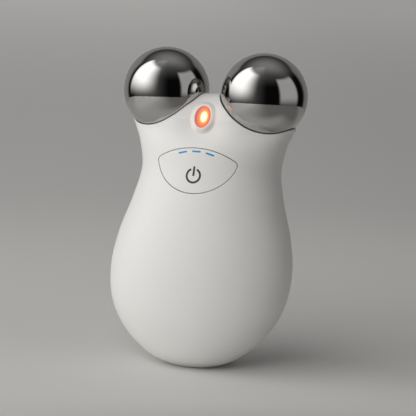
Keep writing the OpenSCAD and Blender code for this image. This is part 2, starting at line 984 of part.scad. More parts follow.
module contact_rings() {
    color(brass)
    at_balls()
        translate([0, 0, seat_z - ring_t])
            difference() {
                union() {
                    cylinder(h = ring_t, d = stud_d + 3.6, $fn = 32);
                    translate([-1.2, -tab_reach, 0])
                        cube([2.4, tab_reach, ring_t]);
                }
                translate([0, 0, -1])
                    cylinder(h = 3, d = stud_d + 2 * fit, $fn = 32);
            }
}

module ball_nuts() {
    color(brass)
    at_balls()
        translate([0, 0, seat_z - ring_t - nut_t])
            difference() {
                cylinder(h = nut_t, d = nut_width / cos(30), $fn = 6);
                translate([0, 0, -1])
                    cylinder(h = nut_t + 2, d = stud_d, $fn = 32);
            }
}

// ---------- charging ----------

module charge_board() {
    color(board_green)
    difference() {
        translate([-8, charge_screw_y - 2.5, charge_board_z])
            cube([16, port_mouth - 4.2 - charge_screw_y + 2.5, board_t]);
        for (x = charge_screw_x)
            translate([x, charge_screw_y, charge_board_z - 1])
                cylinder(h = board_t + 2, d = screw_d + 2 * fit, $fn = 16);
    }
}

module charge_board_screws() {
    color(steel)
    for (x = charge_screw_x)
        translate([x, charge_screw_y, charge_board_z + board_t])
            mirror([0, 0, 1])
                screw(board_t + 2.2);
}

module charge_port() {
    metal = 0.3;
    color([0.66, 0.67, 0.69]) {
        difference() {
            port_prism(0, port_mouth - port_length, port_mouth);
            port_prism(-metal, port_mouth - port_length + 1, port_mouth + 1);
        }
        translate([-3.3, port_mouth - port_length + 0.5, port_height - 0.35])
            cube([6.6, port_length - 1.2, 0.7]);
    }
}

// ---------- all parts ----------

front_shell();
rear_cover();
cover_seal();
cover_frame();
power_button();
power_symbol();
indicator_bars();
button_seal();
button_frame();
frame_screws();
switch_body();
switch_plunger();
main_board();
board_screws();
controller_chip();
boost_coil();
beeper();
status_leds();
chassis();
chassis_screws();
battery_pad();
battery_cell();
battery_leads();
light_lens();
light_holder();
light_board();
light_led();
light_leads();
ball_left();
ball_right();
ball_studs();
contact_rings();
ball_nuts();
electrode_leads();
charge_board();
charge_board_screws();
charge_port();
charge_leads();
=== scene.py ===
import math
import bpy
import numpy as np
from mathutils import Matrix


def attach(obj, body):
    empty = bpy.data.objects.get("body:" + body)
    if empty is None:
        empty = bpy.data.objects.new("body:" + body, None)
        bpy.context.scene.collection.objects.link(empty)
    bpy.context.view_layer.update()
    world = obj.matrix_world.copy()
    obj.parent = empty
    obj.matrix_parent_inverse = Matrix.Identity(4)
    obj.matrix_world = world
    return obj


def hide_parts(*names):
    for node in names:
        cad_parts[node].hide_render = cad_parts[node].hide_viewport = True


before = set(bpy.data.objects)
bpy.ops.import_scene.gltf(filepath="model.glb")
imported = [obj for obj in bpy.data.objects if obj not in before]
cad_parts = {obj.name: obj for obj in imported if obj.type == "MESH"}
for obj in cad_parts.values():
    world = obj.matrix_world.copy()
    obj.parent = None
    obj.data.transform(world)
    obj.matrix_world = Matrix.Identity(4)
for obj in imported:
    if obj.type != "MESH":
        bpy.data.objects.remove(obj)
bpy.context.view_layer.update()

print("frame loaded,", len(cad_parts), "nodes")

# All sizes in the dictionaries are millimetres and degrees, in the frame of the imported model:
# +Z up, the front faces -Y, origin in the middle of the base.
mm = 0.001


# Meshes are made from numpy rows of points.

def unit(v):
    return v / np.maximum(np.linalg.norm(v, axis=-1, keepdims=True), 1e-12)


def dot(a, b):
    return (a * b).sum(-1, keepdims=True)


class Skin:
    # collects points, normals and triangles of one piece

    def __init__(self):
        self.points, self.normals, self.tris, self.count = [], [], [], 0

    def add(self, points, normals, tris):
        self.points.append(points)
        self.normals.append(normals)
        self.tris.append(np.asarray(tris, int).reshape(-1, 3) + self.count)
        self.count += len(points)

    def addRows(self, rows, normals=None, closed=True):
        # rows of points, each row as long as the others, joined to a sheet
        rows = np.asarray(rows, float)
        if normals is None:
            normals = rowNormals(rows, closed)
        n, m = rows.shape[:2]
        i, j = np.meshgrid(np.arange(n - 1), np.arange(m if closed else m - 1), indexing="ij")
        k = (j + 1) % m
        a, b, c, d = i * m + j, i * m + k, (i + 1) * m + k, (i + 1) * m + j
        tris = np.concatenate([np.stack([a, b, c], -1).reshape(-1, 3),
                               np.stack([a, c, d], -1).reshape(-1, 3)])
        self.add(rows.reshape(-1, 3), np.asarray(normals).reshape(-1, 3), tris)

    def build(self, name, material, body, *replaced, slot=None):
        points = np.concatenate(self.points)
        normals = unit(np.concatenate(self.normals))
        tris = np.concatenate(self.tris)
        _, first, merged = np.unique(np.round(points, 4), axis=0, return_index=True,
                                     return_inverse=True)
        merged = merged.reshape(-1)
        points, normals, tris = points[first], normals[first], merged[tris]
        flat = np.cross(points[tris[:, 1]] - points[tris[:, 0]],
                        points[tris[:, 2]] - points[tris[:, 0]])
        good = np.linalg.norm(flat, axis=1) > 1e-9
        tris, flat = tris[good], flat[good]
        wrong = (flat * normals[tris].sum(1)).sum(1) < 0
        tris[wrong] = tris[wrong][:, ::-1]
        mesh = bpy.data.meshes.new(name)
        mesh.from_pydata((points * mm).tolist(), [], tris.tolist())
        mesh.shade_smooth()
        mesh.normals_split_custom_set_from_vertices(normals.tolist())
        piece = bpy.data.objects.new(name, mesh)
        bpy.context.scene.collection.objects.link(piece)
        mesh.materials.append(material)
        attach(piece, body)
        if replaced:
            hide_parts(*replaced)
        print("  ", name, len(tris), "triangles")
        return piece


def rowNormals(rows, closed=True):
    # normals of a sheet of rows, pointing to the left of its rows' direction
    around = np.roll(rows, -1, 1) - np.roll(rows, 1, 1) if closed else np.gradient(rows, axis=1)
    along = np.gradient(rows, axis=0)
    return unit(np.cross(around, along))


# The body's surface: sections with a spline through them.

bodySizes = {
    "baseWidth": 20, "baseDepth": 19,
    "bulbWidth": 60.4, "bulbDepth": 41, "bulbHeight": 30, "bulbY": 1.5,
    "neckWidth": 46.2, "neckDepth": 34.8, "neckHeight": 62, "neckY": 8.2,
    "browWidth": 54.6, "browDepth": 24.4, "browHeight": 77.6, "browY": 9.1,
    "crownHeight": 87.2, "crownY": 6.5,
    "roundness": 2.1,
    "columns": 288, "rowsPerStation": 15,
    "footFrom": 0.14, "footRound": 0.5,      # where the rounding into the flat base starts and ends
    # the valley between the sockets, where the light is, and the swell on both sides of it
    "valleyDepth": 0.95, "valleyWidth": 5.5, "swell": 0.45, "swellAt": 11, "swellWidth": 5,
    "valleyFrom": 69.5, "valleyFull": 78, "valleyFades": -2, "valleyEnds": 5,
}


def makeStations(s):
    # height, half width, half depth and middle, at the sections that shape the body
    def section(part, height):
        return np.array([height, s[part + "Width"] / 2, s[part + "Depth"] / 2,
                         s.get(part + "Y", 0)])

    def between(a, b, share):
        return a + (b - a) * np.array(share)

    base, bulb = section("base", 0), section("bulb", s["bulbHeight"])
    neck, brow = section("neck", s["neckHeight"]), section("brow", s["browHeight"])
    crown = np.array([s["crownHeight"], 0, 0, s["crownY"]])
    rows = [base, between(base, bulb, [0.12, 0.30, 0.36, -1.2]),
            between(base, bulb, [0.34, 0.66, 0.60, -1.5]),
            between(base, bulb, [0.64, 0.92, 0.85, -0.6]), bulb,
            between(bulb, neck, [0.35, 0.23, 0.04, 0.34]),
            between(bulb, neck, [0.69, 0.71, 0.46, 0.68]), neck,
            between(neck, brow, [0.52, 0.33, 0.34, 0.60]),
            between(neck, brow, [0.84, 0.835, 0.81, 0.95]), brow,
            between(brow, crown, [0.28, 0.14, 0.11, 0.23]),
            between(brow, crown, [0.70, 0.255, 0.36, 0.40]), crown]
    under = 2 * rows[0] - rows[1]
    over = rows[-2] * np.array([1, -1, -1, 1])
    return np.array([under] + rows + [over])


stations = makeStations(bodySizes)
lastStation = len(stations) - 3
sectionPower = 2 / bodySizes["roundness"]
wellOutside = 60            # from here, a line towards the middle meets the body


def ringAt(t):
    # spline through the stations: height, half width, half depth, middle
    t = np.clip(np.asarray(t, float), 0, lastStation)
    i = np.minimum(t.astype(int), lastStation - 1)
    f = (t - i)[..., None]
    a, b, c, d = (stations[i + k] for k in range(4))
    return (2 * b + (c - a) * f + (2 * a - 5 * b + 4 * c - d) * f ** 2
            + (3 * b - a - 3 * c + d) * f ** 3) / 2


tableT = np.linspace(0, lastStation, 4001)
tableRing = ringAt(tableT)


def ringAtHeight(z):
    return [np.interp(z, tableRing[:, 0], tableRing[:, k]) for k in (1, 2, 3)]


def signedPower(v, e):
    return np.sign(v) * np.abs(v) ** e


def smooth(v, low, high):
    k = np.clip((v - low) / (high - low), 0, 1)
    return k * k * (3 - 2 * k)


def valley(p):
    # how far back the head's front lies behind its sections
    s = bodySizes
    across = s["valleyDepth"] * np.exp(-(p[..., 0] / s["valleyWidth"]) ** 2) \
        - s["swell"] * np.exp(-((np.abs(p[..., 0]) - s["swellAt"]) / s["swellWidth"]) ** 2)
    return across * smooth(p[..., 2], s["valleyFrom"], s["valleyFull"]) \
        * (1 - smooth(p[..., 1], s["valleyFades"], s["valleyEnds"]))


def bodySheet(t, angle):
    # points and normals of the outer surface at places t, angle
    t, angle = np.broadcast_arrays(t, angle)
    ring, slope = ringAt(t), (ringAt(t + 1e-3) - ringAt(t - 1e-3)) / 2e-3
    c, s = np.cos(angle), np.sin(angle)
    px, py = signedPower(c, sectionPower), signedPower(s, sectionPower)
    z, a, b, m = np.moveaxis(ring, -1, 0)
    dz, da, db, dm = np.moveaxis(slope, -1, 0)
    points = np.stack([a * px, m + b * py, z], -1)
    gx = signedPower(c, 2 - sectionPower) * b
    gy = signedPower(s, 2 - sectionPower) * a
    normals = np.stack([gx * dz, gy * dz, -(gx * da * px + gy * (dm + db * py))], -1)
    step = 0.01 * np.eye(3)
    vx, vy, vz = ((valley(points + d) - valley(points - d)) / 0.02 for d in step)
    ny = normals[..., 1] / (1 + vy)
    normals = np.stack([normals[..., 0] - ny * vx, ny, normals[..., 2] - ny * vz], -1)
    points[..., 1] += valley(points)
    return points, unit(normals)


def outside(p):
    # above 0 outside the body's surface, below 0 inside
    flat = p
    for _ in range(3):
        flat = np.stack([p[..., 0], p[..., 1] - valley(flat), p[..., 2]], -1)
    p = flat
    a, b, m = ringAtHeight(p[..., 2])
    n = bodySizes["roundness"]
    value = np.abs(p[..., 0] / np.maximum(a, 1e-6)) ** n \
        + np.abs((p[..., 1] - m) / np.maximum(b, 1e-6)) ** n - 1
    return np.where(p[..., 2] > bodySizes["crownHeight"], 1.0, value)


def slopeOf(value, p):
    # direction in which a value rises, for a value that is a distance
    step = 0.01 * np.eye(3)
    return unit(np.stack([value(p + d) - value(p - d) for d in step], -1))


def dropOnBody(start, direction, reach):
    # where lines from outside first meet the body's surface
    near, far = np.zeros(start.shape[:-1]), np.full(start.shape[:-1], float(reach))
    for _ in range(34):
        middle = (near + far) / 2
        out = outside(start + direction * middle[..., None]) > 0
        near, far = np.where(out, middle, near), np.where(out, far, middle)
    points = start + direction * far[..., None]
    return points, slopeOf(outside, points)


# Local frames on the front.

class Place:
    # a frame on the front: u to the right, v up the face, w straight out of it

    def __init__(self, height, tilt):
        t = math.radians(tilt)
        start = np.array([[0, -wellOutside, height]], float)
        self.origin = dropOnBody(start, np.array([0, 1.0, 0]), wellOutside + 6)[0][0]
        self.u = np.array([1.0, 0, 0])
        self.v = np.array([0, math.sin(t), math.cos(t)])
        self.w = np.array([0, -math.cos(t), math.sin(t)])

    def point(self, uv, w=0.0):
        uv = np.asarray(uv, float)
        return self.origin + uv[..., :1] * self.u + uv[..., 1:2] * self.v \
            + np.asarray(w, float)[..., None] * self.w

    def local(self, p):
        d = p - self.origin
        return np.stack([d @ self.u, d @ self.v, d @ self.w], -1)

    def onBody(self, uv):
        # straight down onto the surface, from 12 mm above the frame
        return dropOnBody(self.point(uv, 12.0), -self.w, 40)


def arc(centre, r, start, stop, count, last=False):
    a = np.radians(np.linspace(start, stop, count, endpoint=last))
    return np.stack([centre[0] + r * np.cos(a), centre[1] + r * np.sin(a)], -1)


def polygonDistance(p, outline):
    # distance from an outline, below 0 inside it
    best = np.full(len(p), 1e9)
    inside = np.zeros(len(p), bool)
    for a, b in zip(outline, np.roll(outline, -1, 0)):
        edge = b - a
        along = np.clip(((p - a) @ edge) / (edge @ edge), 0, 1)
        gap = p - a - along[:, None] * edge
        best = np.minimum(best, (gap ** 2).sum(1))
        crosses = (a[1] > p[:, 1]) != (b[1] > p[:, 1])
        if crosses.any():
            x = a[0] + (p[:, 1] - a[1]) * edge[0] / (edge[1] if edge[1] else 1e-12)
            inside ^= crosses & (p[:, 0] < x)
    best = np.sqrt(best)
    return np.where(inside, -best, best)


# Cutting a sheet and rounding its new edge.

inward = np.array([0, -1.0, 0])      # from the back


def bend(start, corner, end, k):
    # a curve from start to end that leaves and arrives along the lines to the corner
    return (1 - k) ** 2 * start + 2 * k * (1 - k) * corner + k * k * end


def cutSheet(points, normals, tris, value):
    # keeps where value is above 0; also gives the new edge as loops of point numbers
    keep = value(points) > 0
    count = keep[tris].sum(1)
    whole = tris[count == 3].tolist()
    pairs, number, edges = [], {}, {}

    def crossing(i, j):
        if (i, j) not in number:
            number[i, j] = len(points) + len(pairs)
            pairs.append((i, j))
        return number[i, j]

    for tri in tris[(count == 1) | (count == 2)].tolist():
        kept = [keep[i] for i in tri]
        if sum(kept) == 1:
            k = kept.index(True)
            a, b, c = tri[k], tri[(k + 1) % 3], tri[(k + 2) % 3]
            ab, ac = crossing(a, b), crossing(a, c)
            whole.append([a, ab, ac])
            edges[ab] = ac
        else:
            k = kept.index(False)
            c, a, b = tri[k], tri[(k + 1) % 3], tri[(k + 2) % 3]
            bc, ac = crossing(b, c), crossing(a, c)
            whole += [[a, b, bc], [a, bc, ac]]
            edges[bc] = ac
    if not pairs:
        return points, normals, np.array(whole), []
    i, j = np.array(pairs).T
    near, far = np.zeros(len(i)), np.ones(len(i))
    for _ in range(18):
        middle = (near + far) / 2
        kept = value(points[i] + (points[j] - points[i]) * middle[:, None]) > 0
        near, far = np.where(kept, middle, near), np.where(kept, far, middle)
    near = near[:, None]
    points = np.concatenate([points, points[i] + (points[j] - points[i]) * near])
    normals = np.concatenate([normals, unit(normals[i] + (normals[j] - normals[i]) * near)])
    loops = []
    while edges:
        start = next(iter(edges))
        loop = [start]
        while edges.get(loop[-1]) is not None and edges[loop[-1]] != start:
            following = edges.pop(loop[-1])
            loop.append(following)
        edges.pop(loop[-1], None)
        loops.append(loop)
    return points, normals, np.array(whole), loops


def crossingRate(n, g):
    # how fast a cut's distance grows along the surface, with a floor for flat crossings
    return np.maximum(np.linalg.norm(g - dot(g, n) * n, axis=-1, keepdims=True), 0.3)


def roundedEdge(p, n, value, radius, settle=None):
    # rows that roll from a sheet's edge over into the cut's wall, and where the wall starts
    g = slopeOf(value, p)
    rate = crossingRate(n, g)
    corner = p - (g - dot(g, n) * n) / rate * (value(p)[:, None] / rate)
    wall = unit(dot(n, g) * g - n)
    foot = corner + wall * radius
    if settle is not None:
        foot = settle(foot)
    rows, normals = [], []
    for k in np.linspace(0, 1, 7):
        rows.append(bend(p, corner, foot, k))
        tangent = unit((1 - k) * (corner - p) + k * (foot - corner))
        mixed = (1 - k) * n - k * g
        normals.append(unit(mixed - dot(mixed, tangent) * tangent))
    return rows, normals, foot, -g


# Sizes of the pieces that meet the body.

ballSizes = {
    "diameter": 28, "gap": 5.5, "rise": 9.4, "y": 9, "lean": 22, "studHole": 2.0,
    "socketGap": 0.2, "lipRound": 0.5, "bowlHole": 2.2,
}
buttonSizes = {
    "height": 62.3, "tilt": 17, "top": 8.85, "bottom": 5.7, "middle": 1.2,
    "topRadius": 27, "lowRadius": 13.8, "cornerRadius": 1.3,
    "groove": 0.17, "edgeRound": 0.26, "grooveRound": 0.26, "grooveDepth": 2.6,
}
lightSizes = {
    "height": 80.1, "tilt": 26, "lift": 0.2, "lensHeight": 7.2, "lensWidth": 5,
    "lensReach": 0.03, "lensRim": 0.2, "lensEdge": 0.15, "lensCrown": 0.52,
    "lipInside": 0.06, "lipTop": 0.34, "lipRise": 0.52, "lipRound": 0.24, "blend": 1.8,
}
coverSizes = {
    "bottom": 16, "top": 69, "inset": 6, "seam": 0.15, "edgeRound": 0.22, "seamDepth": 1.9,
    "sideSteps": 120,
}
portSizes = {"height": 9.6, "width": 8.9, "thickness": 3.2, "gap": 0.3, "edgeRound": 0.3,
             "wall": 2.0}

buttonPlace = Place(buttonSizes["height"], buttonSizes["tilt"])
lightPlace = Place(lightSizes["height"], lightSizes["tilt"])
lightPlace.origin = lightPlace.origin + lightSizes["lift"] * lightPlace.w
ballRadius = ballSizes["diameter"] / 2
socketRadius = ballRadius + ballSizes["socketGap"]
ballCentres = {side: np.array([side * (ballSizes["diameter"] + ballSizes["gap"]) / 2,
                               ballSizes["y"], bodySizes["browHeight"] + ballSizes["rise"]])
               for side in (-1, 1)}


def buttonOutline(grow):
    s = buttonSizes
    corner = max(0.05, s["cornerRadius"] + grow)
    upper, lower = s["top"] - s["topRadius"], s["lowRadius"] - s["bottom"]
    a, b = s["topRadius"] + grow - corner, s["lowRadius"] + grow - corner
    apart = lower - upper
    rise = (apart ** 2 + a * a - b * b) / (2 * apart)
    x, y = math.sqrt(a * a - rise * rise), upper + rise
    upperA, lowerA = math.degrees(math.atan2(rise, x)), math.degrees(math.atan2(y - lower, x))
    return np.concatenate([
        arc((x, y), corner, lowerA, upperA, 18),
        arc((0, upper), s["topRadius"] + grow, upperA, 180 - upperA, 70),
        arc((-x, y), corner, 180 - upperA, 180 - lowerA, 18),
        arc((0, lower), s["lowRadius"] + grow, 180 - lowerA, 360 + lowerA, 90)])


def coverOutline(grow):
    s = coverSizes
    q = -np.cos(np.pi * np.arange(s["sideSteps"] + 1) / s["sideSteps"])
    z = (s["bottom"] + s["top"]) / 2 + q * ((s["top"] - s["bottom"]) / 2 + grow)
    x = (ringAtHeight(z)[0] - s["inset"] + grow) * np.maximum(0, 1 - np.abs(q) ** 4) ** 0.25
    side = np.stack([x, z], -1)
    return np.concatenate([side, (side * [-1, 1])[-2:0:-1]])


def slotOutline(width, height, middle):
    half = (width - height) / 2
    return np.concatenate([arc((half, middle), height / 2, -90, 90, 24, True),
                           arc((-half, middle), height / 2, 90, 270, 24, True)])


def ovalOutline(grow):
    a = np.linspace(0, 2 * np.pi, 96, endpoint=False)
    return np.stack([(lightSizes["lensWidth"] / 2 + grow) * np.cos(a),
                     (lightSizes["lensHeight"] / 2 + grow) * np.sin(a)], -1)


def outsideOf(outline, flatten, near):
    # distance from a prism with that outline, worked out only close to it
    margin, farAway = 2.5, 5.0
    low, high = outline.min(0) - margin, outline.max(0) + margin

    def value(p):
        result = np.full(len(p), farAway)
        flat = flatten(p)
        close = near(p) & (flat > low).all(1) & (flat < high).all(1)
        if close.any():
            result[close] = polygonDistance(flat[close], outline)
        return result
    return value


buttonHole = outsideOf(buttonOutline(buttonSizes["groove"]),
                       lambda p: buttonPlace.local(p)[:, :2],
                       lambda p: buttonPlace.local(p)[:, 2] > -9)
coverHole = outsideOf(coverOutline(coverSizes["seam"]), lambda p: p[:, [0, 2]],
                      lambda p: p[:, 1] > 5)
portHole = outsideOf(slotOutline(portSizes["width"] + 2 * portSizes["gap"],
                                 portSizes["thickness"] + 2 * portSizes["gap"],
                                 portSizes["height"]),
                     lambda p: p[:, [0, 2]], lambda p: p[:, 1] > 5)


# Shader maths.

class Value:
    # wraps a socket, so that an expression adds its Math nodes

    def __init__(self, graph, socket):
        self.graph, self.socket = graph, socket

    def math(self, operation, *others):
        sockets = dict(enumerate((self,) + others))
        return self.graph.node("Math", {"operation": operation}, sockets)

    def __add__(self, other): return self.math("ADD", other)
    def __radd__(self, other): return self.math("ADD", other)
    def __mul__(self, other): return self.math("MULTIPLY", other)
    def __rmul__(self, other): return self.math("MULTIPLY", other)
    def __rsub__(self, other): return (self * -1.0).math("ADD", other)
    def __pow__(self, other): return self.math("POWER", other)

    def ramp(self, low, high):
        # 0 at low, 1 at high, smooth between
        return self.graph.node("MapRange", {"interpolation_type": "SMOOTHSTEP"},
                               {"Value": self, "From Min": low, "From Max": high})

    def window(self, low, full, fades, ends):
        # 0 up to low, 1 from full to fades, 0 again from ends
        return self.ramp(low, full) * (1 - self.ramp(fades, ends))


class Graph:
    # the nodes of one material or world

    def __init__(self, tree):
        self.tree = tree
        tree.nodes.clear()

    def node(self, kind, settings=None, sockets=None, output=0):
        made = self.tree.nodes.new("ShaderNode" + kind)
        for name, value in (settings or {}).items():
            if name == "stops":
                stops = made.color_ramp.elements
                while len(stops) < len(value):
                    stops.new(0.5)
                for stop, (position, color) in zip(stops, value):
                    stop.position, stop.color = position, (*color, 1.0)
            else:
                setattr(made, name, value)
        for name, value in (sockets or {}).items():
            self.put(made.inputs[name], value)
        return Value(self, made.outputs[output] if len(made.outputs) else None)

    def put(self, place, item):
        if isinstance(item, Value):
            self.tree.links.new(item.socket, place)
        elif place.type == "RGBA":
            place.default_value = (*item, 1.0)
        else:
            place.default_value = item

    def vector(self, operation, first, second, output=0):
        return self.node("VectorMath", {"operation": operation}, {0: first, 1: second}, output)


class Finish(Graph):
    # one material round a Principled shader

    sockets = {"color": "Base Color", "roughness": "Roughness", "metallic": "Metallic",
               "coat": "Coat Weight", "coatRoughness": "Coat Roughness",
               "glow": "Emission Color", "glowStrength": "Emission Strength", "normal": "Normal"}

    def __init__(self, name, **values):
        self.material = bpy.data.materials.new(name)
        self.material.use_nodes = True
        super().__init__(self.material.node_tree)
        shader = self.node("BsdfPrincipled")
        self.shader = shader.socket.node
        self.node("OutputMaterial", sockets={"Surface": shader})
        self.place = self.node("TexCoord", output="Object")
        self.set(**values)

    def set(self, **values):
        for name, value in values.items():
            self.put(self.shader.inputs[self.sockets[name]], value)

    def noise(self, scale, detail=3.0, stretch=None):
        vector = self.node("Mapping", sockets={"Vector": self.place, "Scale": stretch}) if stretch \
            else self.place
        return self.node("TexNoise", sockets={"Vector": vector, "Scale": scale, "Detail": detail})

    def mixed(self, mask, first, second):
        return self.node("Mix", {"data_type": "RGBA"}, {0: mask, 6: first, 7: second}, 2)

    def bump(self, height, strength, distance):
        self.set(normal=self.node("Bump", sockets={"Height": height, "Strength": strength,
                                                   "Distance": distance}))
        return self.material


def shellFinish():
    f = Finish("satinShell")
    grain, cloud = f.noise(5200, 2.0), f.noise(90, 2.0)
    f.set(color=f.mixed(cloud, (0.79, 0.785, 0.77), (0.81, 0.805, 0.79)),
          roughness=0.36 + cloud * 0.08 + grain * 0.06)
    # painted glow: a faint warm halo, the light's glow on the plastic round it, painted as emission
    # in the plastic's material
    centre = (lightPlace.origin + lightPlace.w) * mm
    paintedHalo = (1 - f.vector("DISTANCE", f.place, centre, "Value").ramp(2.5 * mm, 9.5 * mm)) ** 2.0
    f.set(glow=f.mixed(paintedHalo, (0, 0, 0), (1.0, 0.20, 0.12)), glowStrength=0.07)
    return f.bump(grain, 0.10, 0.00003)


def chromeFinish():
    f = Finish("polishedChrome", metallic=1.0)
    smear = f.noise(160, 3.0, (1, 1, 3))
    f.set(color=f.mixed(smear, (0.50, 0.495, 0.485), (0.54, 0.535, 0.525)),
          roughness=0.035 + smear * 0.03)
    return f.material


def lensFinish():
    # a small white-hot core, right of the middle, in orange that darkens to red at the edge
    f = Finish("litLens", color=(0.22, 0.04, 0.02), roughness=0.25, coat=0.35, coatRoughness=0.12)
    glowWidth, glowHeight = 2.6 * mm, 4.3 * mm      # half sizes of the whole glow
    hot = (lightPlace.origin + lightPlace.u * 0.4 + lightPlace.w * 0.5) * mm
    offset = f.vector("SUBTRACT", f.place, hot)
    across = f.vector("DOT_PRODUCT", offset, lightPlace.u / glowWidth, "Value")
    along = f.vector("DOT_PRODUCT", offset, lightPlace.v / glowHeight, "Value")
    glow = f.node("ValToRGB", {"stops": [
        (0.0, (1.0, 0.90, 0.62)), (0.34, (1.0, 0.62, 0.24)), (0.50, (0.52, 0.16, 0.05)),
        (0.70, (0.38, 0.075, 0.028)), (1.0, (0.20, 0.022, 0.010))]},
        {"Fac": (across * across + along * along) ** 0.5})
    f.set(glow=glow, glowStrength=2.1)
    return f.bump(f.noise(3000, 2.0), 0.06, 0.00003)


def plainFinish(name, low, high, roughness, scale, bump=0.1, **more):
    # two close colours in a soft pattern, with the roughness and grain to match
    f = Finish(name, **more)
    cloud, grain = f.noise(scale, 3.0), f.noise(scale * 9, 2.0)
    f.set(color=f.mixed(cloud, low, high), roughness=roughness + cloud * 0.1)
    return f.bump(grain, bump, 0.00004)


def boardFinish():
    f = Finish("solderMask", coat=0.3, coatRoughness=0.2)
    tracks = f.node("TexBrick", {"offset": 0.5},
                    {"Vector": f.place, "Scale": 420.0, "Mortar Size": 0.03}, 1)
    weave = f.noise(2600, 2.0)
    f.set(color=f.mixed(tracks, (0.02, 0.16, 0.08), (0.05, 0.28, 0.14)),
          roughness=0.3 + weave * 0.15)
    return f.bump(tracks, 0.2, 0.00004)


def brushedFinish(name, low, high, roughness):
    f = Finish(name, metallic=1.0)
    streak = f.noise(700, 4.0, (1, 1, 9))
    f.set(color=f.mixed(streak, low, high), roughness=roughness + streak * 0.15)
    return f.bump(streak, 0.08, 0.00002)


print("making finishes")
shellPlastic, chrome, lensGlow = shellFinish(), chromeFinish(), lensFinish()
iconInk = plainFinish("iconInk", (0.035, 0.035, 0.034), (0.05, 0.05, 0.048), 0.45, 900)
barGlow = plainFinish("barGlow", (0.008, 0.15, 0.31), (0.014, 0.18, 0.36), 0.3, 900,
                      glow=(0.0, 0.13, 0.27), glowStrength=0.8)
innerPlastic = plainFinish("innerPlastic", (0.66, 0.66, 0.65), (0.72, 0.72, 0.71), 0.45, 300)
darkPlastic = plainFinish("darkPlastic", (0.03, 0.03, 0.035), (0.05, 0.05, 0.055), 0.4, 500)
chassisPlastic = plainFinish("chassisPlastic", (0.15, 0.16, 0.18), (0.19, 0.20, 0.22), 0.45, 300)
sealRubber = plainFinish("sealRubber", (0.22, 0.23, 0.25), (0.28, 0.29, 0.31), 0.6, 400)
padFoam = plainFinish("padFoam", (0.08, 0.08, 0.08), (0.14, 0.14, 0.14), 0.8, 1200, 0.6)
cellFoil = brushedFinish("cellFoil", (0.60, 0.62, 0.66), (0.72, 0.74, 0.77), 0.3)
solderMask = boardFinish()
ledResin = plainFinish("ledResin", (0.85, 0.78, 0.55), (0.95, 0.88, 0.65), 0.2, 900)
redLead = plainFinish("redLead", (0.55, 0.04, 0.03), (0.65, 0.06, 0.05), 0.4, 700)
blackLead = plainFinish("blackLead", (0.02, 0.02, 0.02), (0.04, 0.04, 0.04), 0.4, 700)
amberLead = plainFinish("amberLead", (0.72, 0.40, 0.05), (0.82, 0.48, 0.08), 0.4, 700)
steel = brushedFinish("zincSteel", (0.52, 0.53, 0.55), (0.66, 0.67, 0.69), 0.25)
brass = brushedFinish("brassTurned", (0.72, 0.55, 0.25), (0.82, 0.66, 0.34), 0.25)
portMetal = brushedFinish("portMetal", (0.50, 0.51, 0.53), (0.62, 0.63, 0.65), 0.22)

nodeFinishes = {
    "cover_seal": sealRubber, "cover_frame": innerPlastic, "button_seal": sealRubber,
    "button_frame": innerPlastic, "frame_screws": steel, "switch_body": darkPlastic,
    "switch_plunger": innerPlastic, "main_board": solderMask, "board_screws": steel,
    "controller_chip": darkPlastic, "boost_coil": darkPlastic, "beeper": darkPlastic,
    "status_leds": ledResin, "chassis": chassisPlastic, "chassis_screws": steel,
    "battery_pad": padFoam, "battery_cell": cellFoil, "battery_leads": redLead,
    "light_holder": innerPlastic, "light_board": solderMask, "light_led": ledResin,
    "light_leads": amberLead, "ball_studs": steel, "contact_rings": brass, "ball_nuts": brass,
    "electrode_leads": blackLead, "charge_board": solderMask, "charge_board_screws": steel,
    "charge_port": portMetal, "charge_leads": redLead,
}
for nodeName, finish in nodeFinishes.items():
    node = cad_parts[nodeName]
    node.data.materials.clear()
    node.data.materials.append(finish)


def socketWall(centre):
    return lambda p: np.linalg.norm(p - centre, axis=-1) - socketRadius


def cutLevel(value, radius, follow):
    # the sheet ends a rounding's width from the wall, measured along the surface if follow is set
    def level(p):
        away = value(p)
        width = np.full(len(p), radius)
        if follow:
            near = np.abs(away) < 2
            rate = crossingRate(slopeOf(outside, p[near]), slopeOf(value, p[near]))
            width[near] *= rate[:, 0]
        return away - width
    return level


def cutOpening(skin, sheet, name, value, radius, settle=None):
    # cuts an opening and rounds its edge; gives the sheet, and where each loop's wall starts
    level = cutLevel(value, radius, settle is not None)
    points, normals, tris, loops = cutSheet(*sheet, level)
    walls = []
    for loop in loops:
        if len(loop) < 12:       # a crumb of the sheet, not an edge
            continue
        rows, rowNorms, foot, facing = roundedEdge(points[loop], normals[loop], value, radius,
                                                   settle)
        skin.addRows(rows, rowNorms)
        walls.append((foot, facing))
    print("   cut", name, [len(loop) for loop in loops])
    return (points, normals, tris), walls


